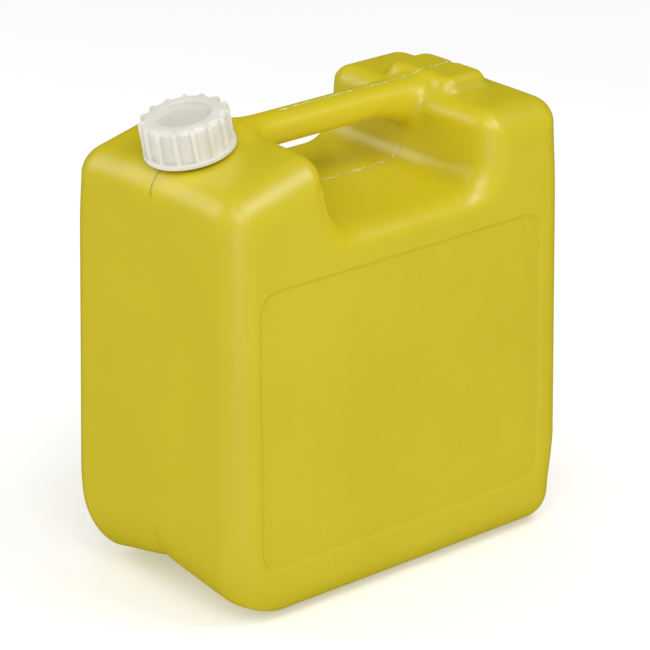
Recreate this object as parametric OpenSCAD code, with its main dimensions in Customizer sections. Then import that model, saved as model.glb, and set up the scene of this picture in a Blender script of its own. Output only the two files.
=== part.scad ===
// Flat jerry can of about twelve litres with a through handle, a tilted threaded neck and a ribbed screw cap.
// Millimetres. +Z is up, the length runs along X with the neck at -X, and the width runs along Y.
// The origin is the centre of the footprint, on the plane the two feet stand on.

/* [Can body] */
// Length of the body, front wall to rear wall
body_length = 290; // [280:1:300]
// Width of the body, broad face to broad face
body_width = 172; // [164:1:180]
// Height of the flat rear shoulder above the floor
body_height = 307; // [302:1:312]
// Wall thickness of the whole blow moulding
wall = 1.6; // [1.2:0.1:2.2]
// Radius of the four upright edges
upright_radius = 20; // [17:1:23]
// Radius of the two long bottom edges and of the rear bottom edge
bottom_radius = 27; // [24:1:30]
// Radius of the front bottom edge, larger so that the can rocks forward to pour
front_bottom_radius = 46; // [40:1:50]
// Radius where the tops of the shoulders turn down into the walls
shoulder_radius = 16; // [13:1:18]
// Height of the arch that leaves two lengthwise feet under the can
arch_height = 10; // [7:1:12]
// Depth of the label panel on each broad face
panel_depth = 1.0; // [0.6:0.1:1.4]

/* [Hand recess and handle] */
// Depth of the hand recess floor below the rear shoulder
recess_depth = 49; // [46:1:52]
// Width of the handle bar across the can
handle_width = 27; // [25:0.5:29]
// Depth of the handle bar, top to underside
handle_depth = 23.5; // [22:0.5:25]
// Height of the handle's top above the rear shoulder
handle_rise = 9.8; // [9:0.2:11]
// Height of the stacking boss above the rear shoulder
boss_rise = 10.5; // [9:0.5:12]

/* [Neck and closure] */
// Forward tilt of the neck axis from the vertical, in degrees
neck_tilt = 12.6; // [11:0.2:14]
// Radius of the clear mouth
mouth_radius = 20.5; // [19:0.5:21]
// Radius over the crest of the neck thread
thread_radius = 25.2; // [25:0.1:25.4]
// Pitch of the closure thread
thread_pitch = 6; // [5.5:0.1:6.5]
// Turns of thread on the neck and inside the cap
thread_turns = 1.5; // [1.25:0.05:1.6]
// Radius of the cap's bottom flange
flange_radius = 30.3; // [30:0.1:31]
// Height of the cap from its flange to its top rim
cap_height = 24.25; // [24:0.25:25]
// Number of grip ribs around the cap
rib_count = 15; // [12:1:20]

/* [Hidden] */

$fn = 96;
thread_segments = 36;
over = 1;

yellow = [0.80, 0.74, 0.16];
white = [0.90, 0.89, 0.85];
foam = [0.96, 0.96, 0.94];

// Upright levels and stations of the body.
floor_of_recess = body_height - recess_depth;
front_x = -body_length / 2;
rear_x = body_length / 2;
half_width = body_width / 2;
shoulder_angle = 13.5;
recess_front_x = -67;
recess_front_lean = 13.6;
recess_rear_x = 74;
recess_rear_lean = 2;
recess_front_radius = 14;
recess_rear_radius = 19;
recess_lip_radius = 12;
rear_top_radius = 22;
crown_radius = 300;
feet_inner_y = 50;
arch_radius = (feet_inner_y * feet_inner_y + arch_height * arch_height) / (2 * arch_height);

// The neck's frame: its origin is the centre of the cap's flange, on the flange's underside.
neck_x = front_x + 34.6;
neck_z = body_height - 0.6;
neck_sink = 6;
shoulder_gap = 2.4;
shoulder_z = neck_z - shoulder_gap;

// Label panel, a shallow rounded rectangle on each broad face.
panel_front_x = -125;
panel_rear_x = 122;
panel_low_z = 40;
panel_high_z = 233;
panel_radius = 15;

// Handle bar and the stations where it leaves the shoulders.
handle_z = body_height + handle_rise - handle_depth / 2;
handle_front_x = -59.5;
handle_rear_x = 66;
handle_root_front_x = -80;
handle_root_rear_x = 104;
handle_ramp_x = -68;
handle_ramp_slope = 0.4;

// Stacking boss behind the handle.
boss_front_x = 87;
boss_rear_x = 120;
boss_half_width = 28;
boss_flare_x = 0.65;
boss_flare_y = 0.6;
boss_sink = 6;

// Neck and cap, measured along the neck's axis from the flange's underside.
running_gap = 0.4;
seal_gap = 0.3;
root_radius = thread_radius - 1.8;
thread_base = 3.0;
thread_crest = 1.3;
thread_bite = 0.5;
liner_thickness = 2;
crown_thickness = 1.9;
dish_depth = 3;
dish_radius = 17;
lip_z = cap_height - dish_depth - crown_thickness - liner_thickness - 2 * seal_gap;
neck_thread_start = 2.6;
bore_start = -1;
socket_radius = mouth_radius + 1.4;
cap_bore = thread_radius + running_gap;
cap_wall_radius = cap_bore + 1.7;
flange_height = 2.6;
cap_chamfer = 2.6;
rib_width = 2.6;
rib_radius = flange_radius - 0.7;
rib_top_radius = 2.2;
gate_radius = 0.9;
gate_height = 0.5;
liner_radius = root_radius - 0.3;

function unit(v) = v / norm(v);
function before(i, n) = (i + n - 1) % n;
function after(i, n) = (i + 1) % n;
function inward(a, b) = [a[1] - b[1], b[0] - a[0]] / norm(b - a);
function turn(a, b, c) = (b[0] - a[0]) * (c[1] - b[1]) - (b[1] - a[1]) * (c[0] - b[0]);
function half_angle(a, b, c) = acos(unit(a - b) * unit(c - b)) / 2;
function bisector(a, b, c) = unit(unit(a - b) + unit(c - b));

// Corner i of the outline p, moved inwards by t off both of its edges.
function inset_corner(p, i, t) =
    let (a = p[before(i, len(p))], b = p[i], c = p[after(i, len(p))])
    let (m = inward(a, b), k = inward(b, c))
    b + t * (m + k) / (1 + m * k);

function inset(p, t) = [for (i = [0:len(p) - 1]) inset_corner(p, i, t)];

// A convex corner's radius shrinks by t as its outline moves in, and a concave one's grows.
function inset_radii(p, r, t) =
    [for (i = [0:len(p) - 1]) r[i] - t * sign(turn(p[before(i, len(p))], p[i], p[after(i, len(p))]))];

// Where the arc of radius r leaves each edge at the corner b.
function tangents(a, b, c, r) =
    let (reach = r / tan(half_angle(a, b, c)))
    [b + reach * unit(a - b), b + reach * unit(c - b)];

function arc_centre(a, b, c, r) = b + bisector(a, b, c) * r / sin(half_angle(a, b, c));

// A counter-clockwise outline with a true arc at every corner.
module rounded_outline(p, r) {
    n = len(p);
    ends = [for (i = [0:n - 1]) each tangents(p[before(i, n)], p[i], p[after(i, n)], r[i])];
    difference() {
        union() {
            polygon(ends);
            for (i = [0:n - 1])
                if (turn(p[before(i, n)], p[i], p[after(i, n)]) > 0)
                    translate(arc_centre(p[before(i, n)], p[i], p[after(i, n)], r[i]))
                        circle(r = r[i]);
        }
        for (i = [0:n - 1])
            if (turn(p[before(i, n)], p[i], p[after(i, n)]) < 0)
                translate(arc_centre(p[before(i, n)], p[i], p[after(i, n)], r[i]))
                    circle(r = r[i]);
    }
}

// Side outline in X and Z: base, rear wall, rear shoulder, hand recess, sloping front shoulder.
side_points = [
    [front_x, 0],
    [rear_x, 0],
    [rear_x, body_height],
    [recess_rear_x + recess_depth * tan(recess_rear_lean), body_height],
    [recess_rear_x, floor_of_recess],
    [recess_front_x + (shoulder_top(recess_front_x) - floor_of_recess) * tan(recess_front_lean),
        floor_of_recess],
    [recess_front_x, shoulder_top(recess_front_x)],
    [front_x, shoulder_top(front_x)],
];
side_radii = [
    front_bottom_radius,
    bottom_radius,
    rear_top_radius,
    recess_lip_radius,
    recess_rear_radius,
    recess_front_radius,
    recess_lip_radius,
    shoulder_radius,
];

// Height of the front shoulder's centre line at the station x.
function shoulder_top(x) = shoulder_z + (x - neck_x) * tan(shoulder_angle);

// Plan outline in X and Y.
plan_points = [
    [front_x, -half_width],
    [rear_x, -half_width],
    [rear_x, half_width],
    [front_x, half_width],
];
plan_radii = [upright_radius, upright_radius, upright_radius, upright_radius];

// Cross-section of the front shoulder below its crowned top, which peaks on the line z = 0.
module crowned_section(t) {
    low = -body_height - body_length;
    centre_y = half_width - shoulder_radius;
    centre_z = sqrt(pow(crown_radius - shoulder_radius, 2) - centre_y * centre_y) - crown_radius;
    scale_out = (crown_radius - t) / (crown_radius - shoulder_radius);
    edge_y = centre_y * scale_out;
    edge_z = (centre_z + crown_radius) * scale_out - crown_radius;
    polygon([
        [-half_width + t, low],
        [half_width - t, low],
        [half_width - t, centre_z],
        [edge_y, edge_z],
        [-edge_y, edge_z],
        [-half_width + t, centre_z],
    ]);
    for (side = [-centre_y, centre_y])
        translate([side, centre_z])
            circle(r = shoulder_radius - t);
    intersection() {
        translate([0, -crown_radius])
            circle(r = crown_radius - t, $fn = 360);
        translate([-edge_y, edge_z - over])
            square([2 * edge_y, shoulder_radius]);
    }
}

// Everything under the sloping front shoulder's crowned surface.
module under_front_shoulder(t) {
    translate([neck_x, 0, shoulder_z])
        rotate([0, -shoulder_angle, 0])
            rotate([90, 0, 90])
                linear_extrude(height = 3 * body_length, center = true)
                    crowned_section(t);
}

// The section across the can, rounded along its bottom edges and its two top edges.
module cross_section(t, height) {
    points = [[-half_width, 0], [half_width, 0], [half_width, height], [-half_width, height]];
    radii = [bottom_radius, bottom_radius, shoulder_radius, shoulder_radius];
    rounded_outline(inset(points, t), inset_radii(points, radii, t));
}

// Everything inside that section, low enough at the rear to round the edges of the rear shoulder.
module between_side_edges(t) {
    rotate([90, 0, 90]) {
        linear_extrude(height = body_length)
            cross_section(t, body_height);
        translate([0, 0, -body_length])
            linear_extrude(height = body_length + over)
                cross_section(t, body_height + 2 * shoulder_radius);
    }
}

// The can's whole closed form, its walls moved in by t.
module body_form(t) {
    intersection() {
        intersection() {
            translate([0, 0, -over])
                linear_extrude(height = body_height + boss_rise + handle_depth)
                    rounded_outline(inset(plan_points, t), inset_radii(plan_points, plan_radii, t));
            rotate([90, 0, 0])
                linear_extrude(height = body_width + 2 * over, center = true)
                    rounded_outline(inset(side_points, t), inset_radii(side_points, side_radii, t));
        }
        intersection() {
            between_side_edges(t);
            under_front_shoulder(t);
        }
    }
}

// The space between the two lengthwise feet.
module arch(t) {
    translate([0, 0, arch_height - arch_radius])
        rotate([0, 90, 0])
            cylinder(r = arch_radius + t, h = body_length + 2 * over, center = true, $fn = 360);
}

panel_points = [
    [panel_front_x, panel_low_z],
    [panel_rear_x, panel_low_z],
    [panel_rear_x, panel_high_z],
    [panel_front_x, panel_high_z],
];
panel_radii = [panel_radius, panel_radius, panel_radius, panel_radius];

// The slab that sinks the label panel into the broad face on the given side.
module panel_slab(side, t) {
    face = half_width - panel_depth - t;
    translate([0, side > 0 ? face + panel_depth + over + t : -face, 0])
        rotate([90, 0, 0])
            linear_extrude(height = panel_depth + over + t)
                rounded_outline(inset(panel_points, -t), inset_radii(panel_points, panel_radii, -t));
}

module bar_section(t) {
    r = handle_depth / 2;
    flat = handle_width / 2 - r;
    for (side = [-flat, flat])
        translate([side, 0])
            circle(r = r - t);
    square([2 * flat, 2 * (r - t)], center = true);
}

// The handle bar's section carried from one station to another.
module bar(t, from_x, to_x) {
    translate([from_x, 0, handle_z])
        rotate([90, 0, 90])
            linear_extrude(height = to_x - from_x)
                bar_section(t);
}

// The front end of the bar, ramped down into the crowned shoulder.
module front_root(t, to_x) {
    top = handle_z + handle_depth / 2 - t;
    run = handle_ramp_x - handle_root_front_x;
    intersection() {
        bar(t, handle_root_front_x + t, to_x);
        rotate([90, 0, 0])
            linear_extrude(height = 2 * handle_width, center = true)
                polygon([
                    [handle_root_front_x, top - handle_depth],
                    [to_x + over, top - handle_depth],
                    [to_x + over, top + over],
                    [handle_ramp_x, top + over],
                    [handle_ramp_x, top],
                    [handle_root_front_x, top - run * handle_ramp_slope],
                ]);
    }
}

// The raised block behind the handle that a can stacked on top sits against.
module boss(t) {
    low = body_height - boss_sink;
    high = body_height + boss_rise;
    fall = boss_rise + boss_sink;
    side = [
        [boss_front_x - fall * boss_flare_x, low],
        [boss_rear_x + fall * boss_flare_x, low],
        [boss_rear_x, high],
        [boss_front_x, high],
    ];
    end = [
        [-boss_half_width - fall * boss_flare_y, low],
        [boss_half_width + fall * boss_flare_y, low],
        [boss_half_width, high],
        [-boss_half_width, high],
    ];
    intersection() {
        rotate([90, 0, 0])
            linear_extrude(height = body_width, center = true)
                polygon(inset(side, t));
        rotate([90, 0, 90])
            linear_extrude(height = body_length, center = true)
                polygon(inset(end, t));
    }
}

module neck_frame() {
    translate([neck_x, 0, neck_z])
        rotate([0, -neck_tilt, 0])
            children();
}

// One screw thread as a closed band, from the radius where it is rooted to the radius of its crest.
module thread(base_r, crest_r, start_z, start_angle) {
    steps = round(thread_turns * thread_segments);
    rows = [for (i = [0:steps])
        let (angle = start_angle + i * 360 / thread_segments)
        let (z = start_z + i * thread_pitch / thread_segments)
        each [
            [base_r * cos(angle), base_r * sin(angle), z - thread_base / 2],
            [crest_r * cos(angle), crest_r * sin(angle), z - thread_crest / 2],
            [crest_r * cos(angle), crest_r * sin(angle), z + thread_crest / 2],
            [base_r * cos(angle), base_r * sin(angle), z + thread_base / 2],
        ]];
    sides = [for (i = [0:steps - 1]) for (k = [0:3])
        let (a = 4 * i + k, b = 4 * i + (k + 1) % 4)
        each [[a, b, b + 4], [a, b + 4, a + 4]]];
    last = 4 * steps;
    caps = [[0, 2, 1], [0, 3, 2], [last, last + 1, last + 2], [last, last + 2, last + 3]];
    faces = concat(sides, caps);
    flipped = [for (f = faces) [f[0], f[2], f[1]]];
    polyhedron(points = rows, faces = crest_r > base_r ? faces : flipped);
}

// The blow-moulded shell: walls, shoulders, hand recess, feet, label panels, handle roots and boss.
module can_body() {
    color(yellow)
        difference() {
            union() {
                body_form(0);
                front_root(0, handle_front_x);
                bar(0, handle_rear_x, handle_root_rear_x);
                boss(0);
            }
            arch(0);
            panel_slab(-1, 0);
            panel_slab(1, 0);
            difference() {
                union() {
                    body_form(wall);
                    front_root(wall, handle_front_x + over);
                    bar(wall, handle_rear_x - over, handle_root_rear_x - wall);
                    boss(wall);
                }
                arch(wall);
                panel_slab(-1, wall);
                panel_slab(1, wall);
            }
            neck_frame()
                translate([0, 0, -neck_sink])
                    cylinder(r = root_radius, h = neck_sink + over);
        }
}

// The hollow grip between the two shoulders.
module handle() {
    color(yellow)
        difference() {
            bar(0, handle_front_x, handle_rear_x);
            bar(wall, handle_front_x - over, handle_rear_x + over);
        }
}

// The threaded spout with its clear mouth.
module neck() {
    color(yellow)
        neck_frame()
            difference() {
                union() {
                    translate([0, 0, -neck_sink])
                        cylinder(r = root_radius, h = neck_sink + lip_z);
                    thread(root_radius - thread_bite, thread_radius, neck_thread_start, 0);
                }
                translate([0, 0, -neck_sink - over])
                    cylinder(r = socket_radius, h = neck_sink + over + bore_start);
                translate([0, 0, bore_start - over])
                    cylinder(r = mouth_radius, h = lip_z - bore_start + 2 * over);
            }
}

// One grip rib, rounded over where it meets the cap's top rim.
module rib() {
    root = cap_bore + over;
    foot = flange_height / 2;
    top = cap_height - gate_height;
    shoulder = rib_radius - rib_top_radius;
    rotate([90, 0, 0])
        linear_extrude(height = rib_width, center = true) {
            polygon([
                [root, foot],
                [rib_radius, foot],
                [rib_radius, top - rib_top_radius],
                [shoulder, top],
                [root, top],
            ]);
            translate([shoulder, top - rib_top_radius])
                circle(r = rib_top_radius);
        }
}

// The screw cap: ribbed skirt on a flange, chamfered top rim, dished crown with its gate mark.
module cap() {
    straight = cap_height - cap_chamfer;
    crown_z = cap_height - dish_depth - crown_thickness;
    color(white)
        neck_frame() {
            difference() {
                union() {
                    cylinder(r = flange_radius, h = flange_height);
                    cylinder(r = cap_wall_radius, h = straight);
                    translate([0, 0, straight])
                        cylinder(r1 = cap_wall_radius, r2 = cap_wall_radius - cap_chamfer, h = cap_chamfer);
                    for (i = [0:rib_count - 1])
                        rotate([0, 0, i * 360 / rib_count])
                            rib();
                }
                translate([0, 0, -over])
                    cylinder(r = cap_bore, h = crown_z + over);
                translate([0, 0, cap_height - dish_depth])
                    cylinder(r = dish_radius, h = dish_depth + over);
            }
            translate([0, 0, cap_height - dish_depth - gate_height])
                cylinder(r = gate_radius, h = 2 * gate_height);
            thread(cap_bore + thread_bite, root_radius + running_gap, neck_thread_start, 180);
        }
}

// The sealing disc carried inside the cap, over the neck's lip.
module liner() {
    color(foam)
        neck_frame()
            translate([0, 0, lip_z + seal_gap])
                cylinder(r = liner_radius, h = liner_thickness);
}

can_body();
handle();
neck();
cap();
liner();
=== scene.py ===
"""Flat yellow jerry can with a ribbed white screw cap, on a pale studio floor.

The blow-moulded skin, the neck and the cap are written as distance fields in millimetres,
turned into quads on a grid and then moved exactly onto the field's surface.
"""
import math

import bpy
import numpy as np
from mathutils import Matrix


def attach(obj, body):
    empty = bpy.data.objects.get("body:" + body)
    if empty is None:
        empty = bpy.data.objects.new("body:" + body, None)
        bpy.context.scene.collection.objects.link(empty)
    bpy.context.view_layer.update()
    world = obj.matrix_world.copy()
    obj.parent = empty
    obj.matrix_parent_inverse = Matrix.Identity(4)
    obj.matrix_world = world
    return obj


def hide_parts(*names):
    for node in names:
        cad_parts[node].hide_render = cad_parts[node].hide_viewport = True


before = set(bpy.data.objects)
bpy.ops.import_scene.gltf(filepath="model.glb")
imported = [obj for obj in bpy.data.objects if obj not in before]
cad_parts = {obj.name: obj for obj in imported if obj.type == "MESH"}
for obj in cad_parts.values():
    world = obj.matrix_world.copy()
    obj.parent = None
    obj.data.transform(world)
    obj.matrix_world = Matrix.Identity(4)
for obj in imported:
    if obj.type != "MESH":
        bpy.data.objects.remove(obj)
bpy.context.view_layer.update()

import openvdb
from mathutils import Matrix, Vector

MM = 0.001
rng = np.random.default_rng(7)

# ---------------------------------------------------------------- sizes, in millimetres

HALF_LENGTH = 145.0
HALF_WIDTH = 86.0
REAR_TOP = 307.0
TAPER = 3.6                      # each wall's lean inwards over the body's height
LEVEL_SHARE = 0.55               # the share of the height where the taper is nil
SIDE_INSET = 0.6                 # makes room for the bulge inside HALF_WIDTH
BOW = 0.9                        # how far the broad faces bulge at their middle
BOW_SPAN_X = 150.0
BOW_SPAN_Z = 160.0
BOW_CENTRE_Z = 140.0

PANEL = (-1.5, 136.5, 123.5, 96.5, 15.0)    # label panel: centre x, z, half sizes, corner radius
PANEL_DEPTH = 1.1

NECK_TILT = math.radians(12.6)
NECK_ORIGIN = np.array([-110.4, 0.0, 306.4])
NECK_AXIS = np.array([-math.sin(NECK_TILT), 0.0, math.cos(NECK_TILT)])
NECK_SIDE = np.array([math.cos(NECK_TILT), 0.0, math.sin(NECK_TILT)])
MOUTH_RADIUS = 20.5
ROOT_RADIUS = 23.4
THREAD_RADIUS = 25.2
THREAD_PITCH = 6.0
THREAD_TURNS = 1.5
THREAD_START = 2.6
THREAD_BASE = 1.5                # half the thread's height at its root, and at its crest
THREAD_CREST = 0.6
LIP_Z = 16.75

SHOULDER_SLOPE = math.radians(13.5)
SHOULDER_CROWN = 600.0
SHOULDER_Z = 304.0               # centre-line height of the front shoulder at the neck

ARCH_HEIGHT = 9.3
ARCH_HALF_WIDTH = 62.0
ARCH_POWER = 1.12
KEEL_HEIGHT = 19.5
KEEL_HALF_WIDTH = 75.0
KEEL_START = 10.0
KEEL_END = 85.0
KEEL_FADE_START = 113.0
KEEL_FADE_END = 141.0
PINCH_DEPTH = 0.8
PINCH_WIDTH = 5.5
PINCH_TOP = 62.0
PINCH_START = 70.0
PINCH_FULL = 128.0
PINCH_FADE = 24.0

UPRIGHT_RADIUS = 17.5
BOTTOM_EXTRA = 10.0
REAR_CROWN = 5000.0
FRONT_TOP_RADIUS = 15.5
REAR_TOP_RADIUS = 16.5
REAR_EDGE_RADIUS = 21.0
REAR_BOTTOM_RADIUS = 23.0
FRONT_BOTTOM_RADIUS = 50.5
SHOULDER_EDGE_RADIUS = 22.0

FLOOR_Z = 258.0                  # the hand recess's floor on the centre line
FLOOR_FALL = 3.5                 # its fall towards the broad faces
RECESS_LEAN = math.radians(13.6)
RECESS_FRONT = 67.0              # the recess's front wall is this far forward at RECESS_TOP
RECESS_TOP = 314.4
RECESS_FRONT_FILLET = 15.0
RECESS_REAR_FILLET = 13.0
RECESS_REAR_FLARE = 9.0          # added to the rear fillet towards the broad faces
RECESS_EDGE_RADIUS = 12.0

BOSS_TOP = 317.3
BOSS_STEP = 313.0
BOSS_FOOT = 298.0
BOSS_BLOCK = (103.0, 0.0, 17.0, 28.0, 7.0)      # centre x, y, half sizes, corner radius
BOSS_LOW_BLOCK = (110.0, 0.0, 15.0, 24.5, 9.0)
BOSS_FLARE = 0.6                 # how far the sides spread per millimetre down
BOSS_FLARE_LENGTH = 1.166        # the length of (1, BOSS_FLARE)
NOTCH_X = 121.0
NOTCH_RISE = 4.0
NOTCH_RADIUS = 6.5
HANDLE_BLEND = 14.0
BOSS_BLEND = 6.0
REAR_WALL_X = 69.8               # where the hand recess's rear wall would meet its floor
REAR_WALL_LEAN = 0.05
REAR_WALL_SPREAD = 3.0           # how much further back that wall is at the broad faces
HANDLE_Z = 304.6
HANDLE_HALF_WIDTH = 13.5
HANDLE_HALF_DEPTH = 10.6
HANDLE_POWER = 2.3               # 2 is an ellipse, more is squarer
HANDLE_FRONT = 84.0
HANDLE_REAR = 100.0
REAR_ROOT = (38.0, 84.0)         # where the grip's rear root starts to swell, and is full
FRONT_ROOT = (48.0, 78.0)
REAR_DEEPEN = 6.0
REAR_WIDEN = 3.5
FRONT_DEEPEN = 2.0
FRONT_WIDEN = 5.0

SKIN_GRID = 1.7
CAP_GRID = 0.42
NECK_GRID = 0.6
LINER_GRID = 0.4


# ---------------------------------------------------------------- distance-field helpers

def round_max(a, b, r):
    """Both a and b hold, with a fillet of radius r where they meet."""
    u = np.maximum(a + r, 0.0)
    v = np.maximum(b + r, 0.0)
    return np.minimum(-r, np.maximum(a, b)) + np.sqrt(u * u + v * v)


def round_min(a, b, r):
    """Either a or b holds, with a fillet of radius r in the corner between them."""
    return -round_max(-a, -b, r)


def soft_min(a, b, k):
    """A union whose blend has no visible start or end."""
    h = np.maximum(k - np.abs(a - b), 0.0) / k
    return np.minimum(a, b) - h * h * h * k / 6.0


def smooth(x, low, high):
    t = np.clip((x - low) / (high - low), 0.0, 1.0)
    return t * t * (3.0 - 2.0 * t)


def rounded_rect(u, v, cu, cv, hu, hv, r):
    """Distance to a rounded rectangle in a plane."""
    du = np.abs(u - cu) - (hu - r)
    dv = np.abs(v - cv) - (hv - r)
    outside = np.sqrt(np.maximum(du, 0.0) ** 2 + np.maximum(dv, 0.0) ** 2)
    return outside + np.minimum(np.maximum(du, dv), 0.0) - r


# ---------------------------------------------------------------- the can

def walls(x, y, z):
    """Front, rear and side walls as signed distances, with the taper and the bulge."""
    lean = TAPER * (z / REAR_TOP - LEVEL_SHARE)
    front = -x - (HALF_LENGTH - lean)
    rear = x - (HALF_LENGTH - lean)
    bulge = BOW * np.cos(np.clip(x / BOW_SPAN_X, -1, 1) * math.pi / 2) * np.cos(
        np.clip((z - BOW_CENTRE_Z) / BOW_SPAN_Z, -1, 1) * math.pi / 2)
    panel = rounded_rect(x, z, *PANEL)
    sunk = PANEL_DEPTH * (1.0 - smooth(panel, -2.2, 0.6))
    side = np.abs(y) - (HALF_WIDTH - SIDE_INSET - lean + bulge - sunk)
    return front, rear, side


def foot_height(x, y):
    """The underside: two lengthwise feet, and between them flanks that rise to the parting line.

    Towards the front the flanks grow into a wide shallow keel, so the feet lift off the ground there.
    """
    offset = np.sqrt(y * y + 4.0)
    arch = ARCH_HEIGHT * (1.0 - np.clip(offset / ARCH_HALF_WIDTH, 0.0, 1.0)) ** ARCH_POWER
    keel = KEEL_HEIGHT * (1.0 - np.clip(offset / KEEL_HALF_WIDTH, 0.0, 1.0))
    fade = 1.0 - smooth(-x, KEEL_FADE_START, KEEL_FADE_END)
    share = smooth(-x, KEEL_START, KEEL_END) * fade
    return arch + (keel - arch) * share


def pinch(x, y, z):
    """The groove where the mould pinched the parison, around the front bottom edge."""
    groove = PINCH_DEPTH * np.exp(-((y * y + 0.3) / PINCH_WIDTH ** 2) ** 0.65)
    along = smooth(-x, PINCH_START, PINCH_FULL)
    return groove * along * smooth(-z, -PINCH_TOP, -PINCH_TOP + PINCH_FADE)


def front_shoulder(x, y, z):
    crown = (y * y) / (2 * SHOULDER_CROWN)
    rise = SHOULDER_Z + (x - NECK_ORIGIN[0]) * math.tan(SHOULDER_SLOPE)
    return (z - rise + crown) * math.cos(SHOULDER_SLOPE)


def hand_recess(x, y, z):
    """Negative inside the valley under the handle."""
    lean = math.tan(RECESS_LEAN)
    front = (-(x + RECESS_FRONT) + (RECESS_TOP - z) * lean) * math.cos(RECESS_LEAN)
    out = np.abs(y)
    foot = REAR_WALL_X + REAR_WALL_SPREAD * smooth(out, 20.0, 72.0)
    rear = (x - foot - (z - FLOOR_Z) * REAR_WALL_LEAN) / math.hypot(1.0, REAR_WALL_LEAN)
    floor = (FLOOR_Z - FLOOR_FALL * (y / HALF_WIDTH) ** 2) - z
    low = round_max(front, floor, RECESS_FRONT_FILLET)
    rear_fillet = RECESS_REAR_FILLET + RECESS_REAR_FLARE * smooth(out, 45.0, 80.0)
    return round_max(low, round_max(rear, floor, rear_fillet), 2.0)


def handle(x, y, z):
    """The grip: an oval tube whose rear root flares down into the recess's rear wall."""
    root = smooth(x, *REAR_ROOT)
    front_root = smooth(-x, *FRONT_ROOT)
    half_depth = HANDLE_HALF_DEPTH + REAR_DEEPEN * root + FRONT_DEEPEN * front_root
    centre = HANDLE_Z - REAR_DEEPEN * root - FRONT_DEEPEN * front_root
    half_width = HANDLE_HALF_WIDTH + REAR_WIDEN * root + FRONT_WIDEN * front_root
    u = np.abs(y) / half_width
    v = np.abs(z - centre) / half_depth
    oval = (u ** HANDLE_POWER + v ** HANDLE_POWER + 1e-9) ** (1 / HANDLE_POWER)
    ring = (oval - 1.0) * np.minimum(half_width, half_depth)
    ends = np.maximum(-x - HANDLE_FRONT, x - HANDLE_REAR)
    return round_max(ring, ends, 8.0)


def boss(x, y, z):
    """The stacking block behind the handle, its low rear step, and a notch at the parting line."""
    fall = BOSS_TOP - z
    block = (rounded_rect(x, y, *BOSS_BLOCK) - BOSS_FLARE * fall) / BOSS_FLARE_LENGTH
    block = round_max(block, -fall, 3.2)
    low = BOSS_STEP - z
    step = (rounded_rect(x, y, *BOSS_LOW_BLOCK) - BOSS_FLARE * low) / BOSS_FLARE_LENGTH
    step = round_max(step, -low, 2.5)
    notch = np.sqrt((x - NOTCH_X) ** 2 + (1.3 * y) ** 2 + (z - BOSS_TOP - NOTCH_RISE) ** 2)
    notch = notch - NOTCH_RADIUS
    return np.maximum(round_max(round_min(block, step, 1.5), -notch, 2.0), BOSS_FOOT - z)


def can_field(x, y, z):
    """Negative inside the can's outer skin."""
    front, rear, side = walls(x, y, z)
    under = foot_height(x, y) - z
    outline = round_max(round_max(front, under, FRONT_BOTTOM_RADIUS),
                        round_max(rear, under, REAR_BOTTOM_RADIUS), 1.0) + pinch(x, y, z)
    rear_top = z - (REAR_TOP - y * y / REAR_CROWN)
    front_top = front_shoulder(x, y, z)
    behind = smooth(x, -10.0, 10.0)
    front_part = round_max(outline, front_top, FRONT_TOP_RADIUS)
    rear_part = round_max(outline, rear_top, REAR_TOP_RADIUS)
    outline = front_part * (1.0 - behind) + rear_part * behind
    outline = round_max(outline, -hand_recess(x, y, z), RECESS_EDGE_RADIUS)
    top_edge = SHOULDER_EDGE_RADIUS + (REAR_EDGE_RADIUS - SHOULDER_EDGE_RADIUS) * behind
    edge = UPRIGHT_RADIUS + BOTTOM_EXTRA * smooth(-z, -70.0, -15.0)
    edge = edge + (top_edge - edge) * smooth(z, 240.0, 300.0)
    body = round_max(outline, side, edge)
    body = soft_min(body, handle(x, y, z), HANDLE_BLEND)
    return soft_min(body, boss(x, y, z), BOSS_BLEND)


# ---------------------------------------------------------------- the closure, in the neck's frame

def thread_profile(r, angle, z, start_z, start_angle, inner, outer):
    """Distance to a trapezoid helical band between two radii."""
    turn = (angle - start_angle) / (2 * math.pi)
    turn = turn - np.floor(turn)
    best = None
    for lap in range(3):
        t = turn + lap
        centre = start_z + t * THREAD_PITCH
        along = np.maximum(-t, t - THREAD_TURNS) * 2 * math.pi * outer
        share = (r - inner) / (outer - inner)
        half = THREAD_BASE + (THREAD_CREST - THREAD_BASE) * np.clip(share, 0.0, 1.0)
        flank = (np.abs(z - centre) - half) * 0.9
        radial = (r - outer) if outer > inner else (outer - r)
        band = round_max(round_max(flank, radial, 0.45), along * 0.25, 0.5)
        best = band if best is None else np.minimum(best, band)
    return best


CAP_HEIGHT = 24.25
CAP_BORE = 25.6
CAP_WALL = 27.0
COLLAR = 27.5
COLLAR_DEPTH = 2.9
RIM_RADIUS = 24.6
FLANGE = 30.3
FLANGE_TOP = 2.3
FLANGE_FOOT = -0.9               # at rest its rear cuts up to 2.6 mm into the grip's front root
RIBS = 15
RIB_REACH = 29.8
RIB_HALF_WIDTH = 1.5
RIB_TOP_RADIUS = 2.8
RIB_TURN = math.radians(0.9)
DISH_RADIUS = 18.5
DISH_DRAFT = 0.45
DISH_DEPTH = 4.2
DISH_STEP = (0.35, 12.4, 13.4)   # a ring's rise on the dish floor, and where it starts and ends
GATE_RADIUS = 0.95
INNER_TOP = 19.35
BEAD_RADIUS = 0.9
BEAD_Z = -0.4
NECK_FOOT = -6.0
SKIN_HOLE_RADIUS = 22.6
SKIN_HOLE_DEPTH = 14.0

LINER_RADIUS = 23.1
LINER_HALF_DEPTH = 1.0
LINER_RISE = 1.3                 # the disc's middle above the lip
LIP_PRINT = (22.0, 0.3, 0.5)     # the groove the lip pressed: radius, height above the lip, size


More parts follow.
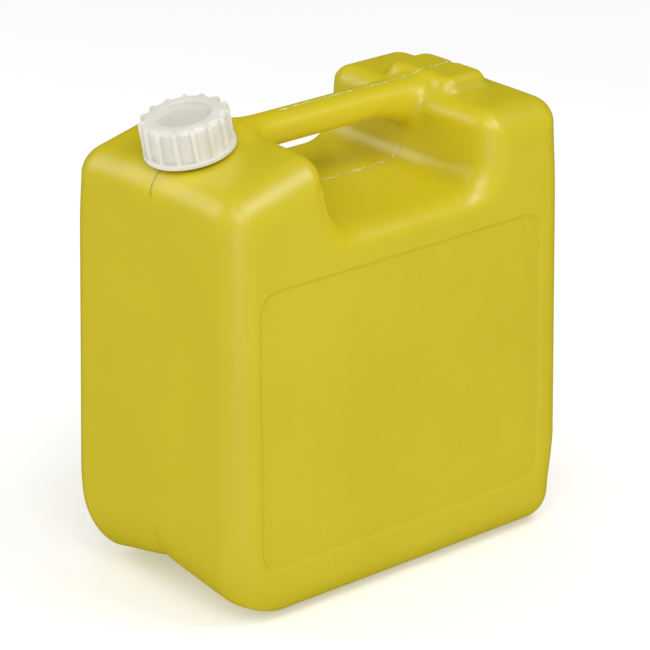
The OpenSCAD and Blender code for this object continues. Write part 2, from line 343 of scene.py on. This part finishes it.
def cap_field(x, y, z):
    """The screw cap about its own axis, its flange's underside at z = FLANGE_FOOT."""
    r = np.sqrt(x * x + y * y)
    angle = np.arctan2(y, x)
    pitch = 2 * math.pi / RIBS
    local = angle - RIB_TURN - np.round((angle - RIB_TURN) / pitch) * pitch
    across = np.abs(r * np.sin(local))
    out = r * np.cos(local)
    top = z - CAP_HEIGHT
    collar_foot = (CAP_HEIGHT - COLLAR_DEPTH) - z
    shell = round_max(round_max(r - CAP_WALL, top, 0.4), FLANGE_FOOT - z, 0.3)
    collar = round_max(round_max(r - COLLAR, collar_foot, 0.25), top, 0.4)
    shell = round_min(shell, collar, 0.25)
    chamfer = (r + z - (RIM_RADIUS + CAP_HEIGHT)) * 0.7071
    shell = round_max(shell, chamfer, 0.5)
    flange = round_max(round_max(r - FLANGE, z - FLANGE_TOP, 0.8), FLANGE_FOOT - z, 0.4)
    body = round_min(shell, flange, 0.6)
    rib = round_max(out - RIB_REACH, z - (CAP_HEIGHT - 0.2), RIB_TOP_RADIUS)
    rib = round_max(rib, across - RIB_HALF_WIDTH, 0.8)
    rib = round_max(round_max(rib, 1.0 - z, 0.2), RIM_RADIUS - 1.0 - out, 0.3)
    body = round_min(body, rib, 0.5)
    rise, start, end = DISH_STEP
    dish_floor = CAP_HEIGHT - DISH_DEPTH + rise * smooth(r, start, end)
    dish = round_max(r - DISH_RADIUS - (z - CAP_HEIGHT) * DISH_DRAFT, dish_floor - z, 1.2)
    body = round_max(body, -dish, 0.7)
    gate = np.sqrt(r * r + (z - dish_floor) ** 2) - GATE_RADIUS
    body = round_min(body, gate, 0.3)
    hollow = round_max(r - CAP_BORE, z - INNER_TOP, 0.6)
    body = round_max(body, -hollow, 0.3)
    lug = thread_profile(r, angle, z, THREAD_START, math.pi, CAP_BORE + 0.4, ROOT_RADIUS + 0.4)
    return np.minimum(body, np.maximum(lug, r - CAP_BORE - 0.6))


def neck_field(x, y, z):
    """The threaded spout about its own axis."""
    r = np.sqrt(x * x + y * y)
    angle = np.arctan2(y, x)
    tube = round_max(r - ROOT_RADIUS, z - LIP_Z, 1.0)
    tube = round_max(tube, NECK_FOOT - z, 0.2)
    thread = thread_profile(r, angle, z, THREAD_START, 0.0, ROOT_RADIUS - 0.4, THREAD_RADIUS)
    tube = round_min(tube, np.maximum(thread, ROOT_RADIUS - 0.8 - r), 0.4)
    bead = np.sqrt((r - ROOT_RADIUS) ** 2 + (z - BEAD_Z) ** 2) - BEAD_RADIUS
    tube = round_min(tube, bead, 0.6)
    bore = r - MOUTH_RADIUS - 1.4 * smooth(-z, 1.0, 3.0)
    return round_max(tube, -bore, 0.8)


# ---------------------------------------------------------------- field to mesh

def gradient(field, p, step):
    axes = []
    for k in range(3):
        d = np.zeros(3)
        d[k] = step
        hi = field(*(p + d).T)
        lo = field(*(p - d).T)
        axes.append((hi - lo) / (2 * step))
    return np.stack(axes, axis=1)


def surface(field, low, high, step, rounds=4):
    """Quads on the field's zero surface: (points, faces, unit normals)."""
    low = np.asarray(low, float)
    counts = [int(math.ceil((h - l) / step)) + 1 for l, h in zip(low, high)]
    axes = [l + step * np.arange(n) for l, n in zip(low, counts)]
    x, y, z = np.meshgrid(*axes, indexing="ij", sparse=True)
    values = np.broadcast_to(field(x, y, z), counts)
    reach = 3 * step
    grid = openvdb.FloatGrid(background=reach)
    grid.copyFromArray(np.clip(values, -reach, reach).astype(np.float32))
    points, quads = grid.convertToQuads(isovalue=0.0)
    p = points.astype(float) * step + low
    faces = quads.astype(int)
    for _ in range(rounds):
        g = gradient(field, p, 0.2 * step)
        length = np.maximum(np.sum(g * g, axis=1), 0.05)
        move = -(field(*p.T) / length)[:, None] * g
        size = np.linalg.norm(move, axis=1, keepdims=True)
        p = p + move * np.minimum(1.0, step / np.maximum(size, 1e-9))
    g = gradient(field, p, 0.1 * step)
    normals = g / np.maximum(np.linalg.norm(g, axis=1, keepdims=True), 1e-9)
    a, b, c = (p[faces[:, k]] for k in range(3))
    facing = np.einsum("ij,ij->i", np.cross(b - a, c - a), normals[faces[:, 0]])
    if np.sum(facing) < 0:
        faces = faces[:, ::-1]
    return p, faces, normals


def drop_faces(points, faces, normals, keep):
    """The mesh without every face that has a corner which is not kept.

    Whole faces go, so the new edge is ragged and reaches up to a grid diagonal further out.
    """
    faces = faces[keep[faces].all(axis=1)]
    used = np.unique(faces)
    renumber = np.full(len(points), -1)
    renumber[used] = np.arange(len(used))
    return points[used], renumber[faces], normals[used]


def to_row(points, normals):
    """Points and normals from the neck's frame to the row's."""
    turn = np.stack([NECK_SIDE, [0.0, 1.0, 0.0], NECK_AXIS])
    return points @ turn + NECK_ORIGIN, normals @ turn


def join(*meshes):
    points, faces, normals, offset = [], [], [], 0
    for p, f, n in meshes:
        points.append(p)
        faces.append(f + offset)
        normals.append(n)
        offset += len(p)
    return np.concatenate(points), np.concatenate(faces), np.concatenate(normals)


def mesh_object(name, points, faces, normals, materials, indices=None):
    mesh = bpy.data.meshes.new(name)
    mesh.vertices.add(len(points))
    mesh.vertices.foreach_set("co", (points * MM).astype(np.float32).ravel())
    corners = faces.shape[1]
    mesh.loops.add(faces.size)
    mesh.loops.foreach_set("vertex_index", faces.astype(np.int32).ravel())
    mesh.polygons.add(len(faces))
    mesh.polygons.foreach_set("loop_start", np.arange(0, faces.size, corners, dtype=np.int32))
    for m in materials:
        mesh.materials.append(m)
    if indices is not None:
        mesh.polygons.foreach_set("material_index", indices.astype(np.int32))
    mesh.update(calc_edges=True)
    mesh.validate()
    mesh.shade_smooth()
    mesh.normals_split_custom_set_from_vertices(normals)
    made = bpy.data.objects.new(name, mesh)
    bpy.context.scene.collection.objects.link(made)
    return made


# ---------------------------------------------------------------- materials

def new_material(name):
    m = bpy.data.materials.new(name)
    m.use_nodes = True
    nodes, links = m.node_tree.nodes, m.node_tree.links
    return m, nodes, links, nodes["Principled BSDF"]


def noise(nodes, links, coords, scale, detail, roughness=0.5, stretch=None):
    """A noise texture in object space, in cycles a metre, optionally stretched along an axis."""
    source = coords
    if stretch is not None:
        mapping = nodes.new("ShaderNodeMapping")
        mapping.inputs["Scale"].default_value = stretch
        links.new(coords, mapping.inputs["Vector"])
        source = mapping.outputs["Vector"]
    tex = nodes.new("ShaderNodeTexNoise")
    tex.inputs["Scale"].default_value = scale
    tex.inputs["Detail"].default_value = detail
    tex.inputs["Roughness"].default_value = roughness
    links.new(source, tex.inputs["Vector"])
    return tex.outputs["Fac"]


def ramp(nodes, links, factor, stops):
    node = nodes.new("ShaderNodeValToRGB")
    elements = node.color_ramp.elements
    while len(elements) < len(stops):
        elements.new(0.5)
    for element, (place, colour) in zip(elements, stops):
        element.position = place
        element.color = (*colour, 1.0)
    links.new(factor, node.inputs["Fac"])
    return node.outputs["Color"]


def spread(nodes, links, factor, low, high):
    node = nodes.new("ShaderNodeMapRange")
    node.inputs["To Min"].default_value = low
    node.inputs["To Max"].default_value = high
    links.new(factor, node.inputs["Value"])
    return node.outputs["Result"]


def bump(nodes, links, height, strength, distance, below=None):
    node = nodes.new("ShaderNodeBump")
    node.inputs["Strength"].default_value = strength
    node.inputs["Distance"].default_value = distance
    links.new(height, node.inputs["Height"])
    if below is not None:
        links.new(below, node.inputs["Normal"])
    return node.outputs["Normal"]


def near_box(nodes, links, coords, centre, half, soft):
    """1 inside a box in object space, falling to 0 over the soft distance outside it."""
    offset = nodes.new("ShaderNodeVectorMath")
    offset.operation = "SUBTRACT"
    offset.inputs[1].default_value = centre
    links.new(coords, offset.inputs[0])
    size = nodes.new("ShaderNodeVectorMath")
    size.operation = "ABSOLUTE"
    links.new(offset.outputs["Vector"], size.inputs[0])
    beyond = nodes.new("ShaderNodeVectorMath")
    beyond.operation = "SUBTRACT"
    beyond.inputs[1].default_value = half
    links.new(size.outputs["Vector"], beyond.inputs[0])
    outside = nodes.new("ShaderNodeVectorMath")
    outside.operation = "MAXIMUM"
    outside.inputs[1].default_value = (0.0, 0.0, 0.0)
    links.new(beyond.outputs["Vector"], outside.inputs[0])
    gap = nodes.new("ShaderNodeVectorMath")
    gap.operation = "LENGTH"
    links.new(outside.outputs["Vector"], gap.inputs[0])
    fade = nodes.new("ShaderNodeMapRange")
    fade.interpolation_type = "SMOOTHSTEP"
    fade.inputs["From Max"].default_value = soft
    fade.inputs["To Min"].default_value = 1.0
    fade.inputs["To Max"].default_value = 0.0
    links.new(gap.outputs["Value"], fade.inputs["Value"])
    return fade.outputs["Result"]


def near_point(nodes, links, coords, centre, full, end, most=1.0):
    """The most near a point in object space, falling to 0 between two distances from it."""
    away = nodes.new("ShaderNodeVectorMath")
    away.operation = "DISTANCE"
    away.inputs[1].default_value = centre
    links.new(coords, away.inputs[0])
    fade = nodes.new("ShaderNodeMapRange")
    fade.interpolation_type = "SMOOTHSTEP"
    fade.inputs["From Min"].default_value = full
    fade.inputs["From Max"].default_value = end
    fade.inputs["To Min"].default_value = most
    fade.inputs["To Max"].default_value = 0.0
    links.new(away.outputs["Value"], fade.inputs["Value"])
    return fade.outputs["Result"]


def add_share(nodes, links, value, share, below):
    """A share of one value on top of another."""
    node = nodes.new("ShaderNodeMath")
    node.operation = "MULTIPLY_ADD"
    node.inputs[1].default_value = share
    node.inputs[2].default_value = 0.0
    links.new(value, node.inputs[0])
    if below is not None:
        links.new(below, node.inputs[2])
    return node.outputs["Value"]


PEBBLE_PLACE = (-0.141, 0.0, 0.287)     # the chilled patch each side of the front seam, in metres
NECK_GLOW_PLACE = tuple(NECK_ORIGIN * MM)
DISH_SHADE_PLACE = tuple((NECK_ORIGIN + (CAP_HEIGHT - DISH_DEPTH) * NECK_AXIS) * MM)
# Painted glow: a deeper, warmer yellow mixed into the base colour in the hand recess, on the grip and
# around the neck. It stands in for light bouncing inside the recess and light shining through the
# grip, and it paints out the shade under the cap's flange.
RECESS_GLOW_BOX = ((0.010, 0.0, 0.285), (0.072, 0.080, 0.030), 0.012)    # centre, half sizes, fade
GRIP_GLOW_BOX = ((0.008, 0.0, 0.308), (0.082, 0.016, 0.016), 0.008)
PAINTED_GLOW_COLOUR = (0.700, 0.575, 0.005, 1.0)
# Painted shade: the darker, greyer white laid on the floor of the cap's dish.
DISH_SHADE_COLOUR = (0.665, 0.652, 0.570, 1.0)


def yellow_polyethylene():
    """Satin, slightly waxy blown polyethylene with faint upright die streaks and a fine peel, and a
    painted glow of deeper yellow in the hand recess, on the grip and around the neck.
    """
    m, nodes, links, shader = new_material("yellow_polyethylene")
    coords = nodes.new("ShaderNodeTexCoord").outputs["Object"]
    cloud = noise(nodes, links, coords, 9.0, 3.0)
    streak = noise(nodes, links, coords, 60.0, 3.0, stretch=(1.0, 1.0, 0.05))
    mix = nodes.new("ShaderNodeMix")
    mix.inputs["Factor"].default_value = 0.15
    links.new(cloud, mix.inputs["A"])
    links.new(streak, mix.inputs["B"])
    colour = ramp(nodes, links, mix.outputs["Result"], [
        (0.30, (0.612, 0.502, 0.004)),
        (0.50, (0.632, 0.527, 0.005)),
        (0.70, (0.652, 0.547, 0.008)),
    ])
    # Masks for the painted glow: the recess, the grip and a ball round the neck, where the yellow is
    # deepened as if lit through and by bounced light.
    recess = near_box(nodes, links, coords, *RECESS_GLOW_BOX)
    grip = near_box(nodes, links, coords, *GRIP_GLOW_BOX)
    neck = near_point(nodes, links, coords, NECK_GLOW_PLACE, 0.036, 0.052)
    painted_glow = add_share(nodes, links, recess, 0.5, add_share(nodes, links, grip, 0.5, None))
    painted_glow = add_share(nodes, links, neck, 0.9, painted_glow)
    glow = nodes.new("ShaderNodeMix")
    glow.data_type = "RGBA"
    links.new(painted_glow, glow.inputs["Factor"])
    links.new(colour, glow.inputs[6])
    glow.inputs[7].default_value = PAINTED_GLOW_COLOUR
    links.new(glow.outputs[2], shader.inputs["Base Color"])
    fine = noise(nodes, links, coords, 1400.0, 2.0)
    links.new(spread(nodes, links, fine, 0.35, 0.43), shader.inputs["Roughness"])
    peel = noise(nodes, links, coords, 700.0, 3.0, 0.6)
    wave = noise(nodes, links, coords, 26.0, 2.0)
    slow = bump(nodes, links, wave, 0.25, 0.0012)
    skin_peel = bump(nodes, links, peel, 0.10, 0.0002, slow)
    patch = near_point(nodes, links, coords, PEBBLE_PLACE, 0.010, 0.026, 0.45)
    pebbles = noise(nodes, links, coords, 900.0, 2.0, 0.6)
    pebbled = bump(nodes, links, pebbles, 0.3, 0.0004, skin_peel)
    links.new(patch, pebbled.node.inputs["Strength"])
    links.new(pebbled, shader.inputs["Normal"])
    shader.inputs["IOR"].default_value = 1.5
    shader.inputs["Specular IOR Level"].default_value = 1.0
    shader.inputs["Subsurface Weight"].default_value = 0.55
    shader.inputs["Subsurface Radius"].default_value = (1.0, 0.8, 0.12)
    shader.inputs["Subsurface Scale"].default_value = 0.012
    return m


def pale_flash():
    """The crinkled pinch-off flash, whitened where it was torn."""
    m, nodes, links, shader = new_material("pale_flash")
    coords = nodes.new("ShaderNodeTexCoord").outputs["Object"]
    torn = noise(nodes, links, coords, 420.0, 4.0, 0.7)
    colour = ramp(nodes, links, torn, [
        (0.38, (0.66, 0.56, 0.06)),
        (0.52, (0.86, 0.78, 0.26)),
        (0.64, (0.95, 0.90, 0.46)),
    ])
    links.new(colour, shader.inputs["Base Color"])
    links.new(bump(nodes, links, torn, 0.6, 0.0004), shader.inputs["Normal"])
    links.new(spread(nodes, links, torn, 0.55, 0.40), shader.inputs["Roughness"])
    shader.inputs["Subsurface Weight"].default_value = 0.2
    shader.inputs["Subsurface Scale"].default_value = 0.002
    return m


def white_polypropylene():
    """Warm white injection-moulded plastic with a soft sheen, and painted shade darkening the dish
    floor in its top.
    """
    m, nodes, links, shader = new_material("white_polypropylene")
    coords = nodes.new("ShaderNodeTexCoord").outputs["Object"]
    cloud = noise(nodes, links, coords, 70.0, 3.0)
    colour = ramp(nodes, links, cloud, [
        (0.35, (0.725, 0.710, 0.630)),
        (0.65, (0.785, 0.770, 0.695)),
    ])
    # Painted shade: the dish floor in the cap's top is mixed towards a darker colour.
    dish = nodes.new("ShaderNodeMix")
    dish.data_type = "RGBA"
    dish_floor = near_point(nodes, links, coords, DISH_SHADE_PLACE, 0.0140, 0.0175)
    links.new(dish_floor, dish.inputs["Factor"])
    links.new(colour, dish.inputs[6])
    dish.inputs[7].default_value = DISH_SHADE_COLOUR
    links.new(dish.outputs[2], shader.inputs["Base Color"])
    fine = noise(nodes, links, coords, 2400.0, 3.0)
    links.new(spread(nodes, links, fine, 0.34, 0.44), shader.inputs["Roughness"])
    links.new(bump(nodes, links, fine, 0.06, 0.0001), shader.inputs["Normal"])
    shader.inputs["IOR"].default_value = 1.49
    shader.inputs["Subsurface Weight"].default_value = 0.4
    shader.inputs["Subsurface Radius"].default_value = (1.0, 0.95, 0.85)
    shader.inputs["Subsurface Scale"].default_value = 0.003
    return m


def foam():
    """The liner's foamed polyethylene: bright, matt and finely pored."""
    m, nodes, links, shader = new_material("liner_foam")
    coords = nodes.new("ShaderNodeTexCoord").outputs["Object"]
    pores = nodes.new("ShaderNodeTexVoronoi")
    pores.inputs["Scale"].default_value = 1800.0
    links.new(coords, pores.inputs["Vector"])
    colour = ramp(nodes, links, pores.outputs["Distance"], [
        (0.0, (0.78, 0.78, 0.75)),
        (0.6, (0.90, 0.90, 0.88)),
    ])
    links.new(colour, shader.inputs["Base Color"])
    links.new(bump(nodes, links, pores.outputs["Distance"], 0.25, 0.0002), shader.inputs["Normal"])
    shader.inputs["Roughness"].default_value = 0.62
    return m


YELLOW = yellow_polyethylene()
FLASH = pale_flash()
WHITE = white_polypropylene()
FOAM = foam()


# ---------------------------------------------------------------- parting-line flash

def along_ray(origin, angles, reach):
    """Where rays in the plane y = 0 first cross the skin; angles in degrees from +X to +Z."""
    found = []
    for a in np.radians(angles):
        d = np.array([math.cos(a), 0.0, math.sin(a)])
        t = np.arange(0.0, reach, 0.5)
        p = origin + t[:, None] * d
        v = can_field(*p.T)
        crossing = np.nonzero(np.sign(v[1:]) != np.sign(v[:-1]))[0]
        if not len(crossing):
            continue
        k = crossing[0]
        share = v[k] / (v[k] - v[k + 1])
        found.append(p[k] + share * (p[k + 1] - p[k]))
    return np.array(found)


def resample(path, spacing):
    gaps = np.linalg.norm(np.diff(path, axis=0), axis=1)
    s = np.concatenate([[0.0], np.cumsum(gaps)])
    t = np.arange(0.0, s[-1], spacing)
    return np.stack([np.interp(t, s, path[:, k]) for k in range(3)], axis=1)


def wander(count, scale, size):
    """A smooth random walk of about the given size, seeded by the script's generator."""
    raw = rng.normal(size=count + 6 * scale)
    window = np.hanning(2 * scale + 1)
    window /= np.sqrt(np.sum(window ** 2))
    return size * np.convolve(raw, window, mode="same")[3 * scale:3 * scale + count]


def ribbon(path, width, height, crinkle):
    """A ridge along a path on the skin: (points, faces, normals)."""
    path = resample(path, 0.6)
    n = len(path)
    up = gradient(can_field, path, 0.5)
    up /= np.linalg.norm(up, axis=1, keepdims=True)
    side = np.array([0.0, 1.0, 0.0])
    shift = wander(n, 3, 0.35 * crinkle) + wander(n, 12, 0.5 * crinkle)
    tall = np.clip(height * (1.0 + wander(n, 2, 0.8 * crinkle)), 0.05, 2.2 * height)
    broad = np.clip(width * (1.0 + wander(n, 3, 0.5 * crinkle)), 0.4 * width, 2.0 * width)
    ease = np.minimum(1.0, np.minimum(np.arange(n), np.arange(n)[::-1]) / 10.0)
    tall = tall * ease
    rows = []
    for share, rise in ((-0.5, -0.25), (-0.22, 0.75), (0.22, 0.75), (0.5, -0.25)):
        lift = np.where(rise > 0, rise * tall, rise)
        rows.append(path + side * (shift + share * broad)[:, None] + up * lift[:, None])
    points = np.stack(rows, axis=1).reshape(-1, 3)
    faces = []
    for i in range(n - 1):
        for k in range(3):
            a = 4 * i + k
            faces.append([a, a + 4, a + 5, a + 1])
    faces = np.array(faces)
    a, b, d = points[faces[0, 0]], points[faces[0, 1]], points[faces[0, 3]]
    if np.dot(np.cross(b - a, d - a), up[0]) < 0:
        faces = faces[:, ::-1]
    return points, faces, np.repeat(up, 4, axis=0)


# ---------------------------------------------------------------- pieces

skin = surface(can_field, (-149, -91, -3), (149, 91, 322), SKIN_GRID)
local = (skin[0] - NECK_ORIGIN) @ np.stack([NECK_SIDE, [0, 1, 0], NECK_AXIS]).T
# The ragged edge passes the neck's wall by up to 1.6 mm and shows when the cap is off.
under_cap = (np.hypot(local[:, 0], local[:, 1]) < SKIN_HOLE_RADIUS) & (
    local[:, 2] > -SKIN_HOLE_DEPTH)
skin = drop_faces(*skin, ~under_cap)

neck_points, neck_faces, neck_normals = surface(
    neck_field, (-28, -28, -8), (28, 28, 18), NECK_GRID)
neck_place = to_row(neck_points, neck_normals)
neck = (neck_place[0], neck_faces, neck_place[1])

# Rays meet the skin from above the handle, from inside the recess and from inside the front.
ridge_x = np.arange(-38.0, 119.0, 1.0)
ridge = np.array([along_ray(np.array([x, 0.0, 335.0]), [-90.0], 60.0)[0] for x in ridge_x])
valley = along_ray(np.array([8.0, 0.0, 278.0]), np.arange(-118.0, 22.0, 1.0), 90.0)
edge_seam = along_ray(np.array([-100.0, 0.0, 220.0]), np.arange(104.0, 126.5, 0.5), 200.0)
strips = [
    ribbon(ridge, 0.9, 0.5, 0.9),
    ribbon(valley, 1.1, 0.55, 1.1),
    ribbon(edge_seam, 0.9, 0.30, 0.35),
]
flash = join(*strips)

moulding = join(skin, neck, flash)
slots = np.concatenate([
    np.zeros(len(skin[1]) + len(neck[1])),
    np.ones(len(strips[0][1]) + len(strips[1][1])),
    np.zeros(len(strips[2][1])),
])
can = mesh_object("can_moulding", *moulding, [YELLOW, FLASH], slots)
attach(can, "can")
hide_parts("can_body", "handle", "neck")

cap_points, cap_faces, cap_normals = surface(cap_field, (-32, -32, -1.5), (32, 32, 26), CAP_GRID)
cap_place = to_row(cap_points, cap_normals)
cap = mesh_object("screw_cap", cap_place[0], cap_faces, cap_place[1], [WHITE])
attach(cap, "closure")
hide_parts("cap")


def liner_field(x, y, z):
    """The sealing disc about the neck's axis, with the groove that the lip has pressed into it."""
    r = np.sqrt(x * x + y * y)
    disc = round_max(r - LINER_RADIUS, np.abs(z - (LIP_Z + LINER_RISE)) - LINER_HALF_DEPTH, 0.5)
    radius, rise, size = LIP_PRINT
    pressed = np.sqrt((r - radius) ** 2 + (z - (LIP_Z + rise)) ** 2) - size
    return round_max(disc, -pressed, 0.2)


liner_points, liner_faces, liner_normals = surface(
    liner_field, (-24, -24, LIP_Z - 0.5), (24, 24, LIP_Z + 3.2), LINER_GRID)
liner_place = to_row(liner_points, liner_normals)
liner = mesh_object("sealing_disc", liner_place[0], liner_faces, liner_place[1], [FOAM])
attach(liner, "seal")
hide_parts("liner")


# ---------------------------------------------------------------- floor, light and camera

FLOOR_HALF_SIZE = 30.0
FLOOR_GLOW = 0.31
SKY_STRENGTH = 0.58
AIM = Vector((0.0, 0.0, 0.17))


def floor():
    m, nodes, links, shader = new_material("studio_floor")
    coords = nodes.new("ShaderNodeTexCoord").outputs["Object"]
    speck = noise(nodes, links, coords, 3.0, 2.0)
    colour = ramp(nodes, links, speck, [(0.3, (0.79, 0.79, 0.79)), (0.7, (0.81, 0.81, 0.81))])
    links.new(colour, shader.inputs["Base Color"])
    shader.inputs["Roughness"].default_value = 0.9
    shader.inputs["Specular IOR Level"].default_value = 0.1
    shader.inputs["Emission Color"].default_value = (1.0, 1.0, 1.0, 1.0)
    shader.inputs["Emission Strength"].default_value = FLOOR_GLOW
    mesh = bpy.data.meshes.new("studio_floor")
    size = FLOOR_HALF_SIZE
    mesh.from_pydata([(-size, -size, 0), (size, -size, 0), (size, size, 0), (-size, size, 0)],
                     [], [(0, 1, 2, 3)])
    mesh.materials.append(m)
    made = bpy.data.objects.new("studio_floor", mesh)
    made.visible_glossy = False
    bpy.context.scene.collection.objects.link(made)


def softbox(name, azimuth, elevation, distance, size, radiance):
    """A soft light, at an azimuth from -Y towards +X and an elevation, both in degrees."""
    a, e = math.radians(azimuth), math.radians(elevation)
    towards = Vector((math.sin(a) * math.cos(e), -math.cos(a) * math.cos(e), math.sin(e)))
    light = bpy.data.lights.new(name, "AREA")
    light.shape = "RECTANGLE"
    light.size, light.size_y = size
    light.energy = radiance * math.pi * size[0] * size[1]
    made = bpy.data.objects.new(name, light)
    bpy.context.scene.collection.objects.link(made)
    made.location = AIM + distance * towards
    made.rotation_mode = "QUATERNION"
    made.rotation_quaternion = (-towards).to_track_quat("-Z", "Y")


floor()
softbox("left_behind", -140.0, 27.0, 2.2, (1.1, 1.4), 2.0)
softbox("above_camera", -38.0, 45.0, 2.8, (1.7, 1.5), 2.8)
softbox("right_front", 26.0, 57.0, 2.6, (1.0, 1.0), 5.0)
softbox("front_low", -46.0, -2.0, 1.1, (0.60, 0.26), 1.2)

world = bpy.data.worlds.new("studio")
world.use_nodes = True
world.node_tree.nodes["Background"].inputs["Color"].default_value = (1.0, 1.0, 1.0, 1.0)
world.node_tree.nodes["Background"].inputs["Strength"].default_value = SKY_STRENGTH
bpy.context.scene.world = world
world.cycles_visibility.glossy = False
bpy.context.scene.view_settings.view_transform = "Standard"
bpy.context.scene.view_settings.look = "None"

CAMERA_AZIMUTH = math.radians(41.336)
CAMERA_ELEVATION = math.radians(21.463)
CAMERA_ROLL = math.radians(0.170)
CAMERA_PLACE = (-1.5026, -1.7131, 1.0524)
FOCAL_PIXELS = 3656.5
FRAME_PIXELS = 650


def camera():
    data = bpy.data.cameras.new("camera")
    data.sensor_width = 36.0
    data.lens = FOCAL_PIXELS / FRAME_PIXELS * data.sensor_width
    data.clip_start, data.clip_end = 0.1, 100.0
    made = bpy.data.objects.new("camera", data)
    bpy.context.scene.collection.objects.link(made)
    a, e, roll = CAMERA_AZIMUTH, CAMERA_ELEVATION, CAMERA_ROLL
    back = Vector((-math.sin(a) * math.cos(e), -math.cos(a) * math.cos(e), math.sin(e)))
    right = Vector((math.cos(a), -math.sin(a), 0.0))
    up = back.cross(right)
    turned_right = math.cos(roll) * right + math.sin(roll) * up
    turned_up = -math.sin(roll) * right + math.cos(roll) * up
    axes = Matrix((turned_right, turned_up, back)).transposed()
    made.matrix_world = Matrix.Translation(CAMERA_PLACE) @ axes.to_4x4()
    bpy.context.scene.camera = made


camera()
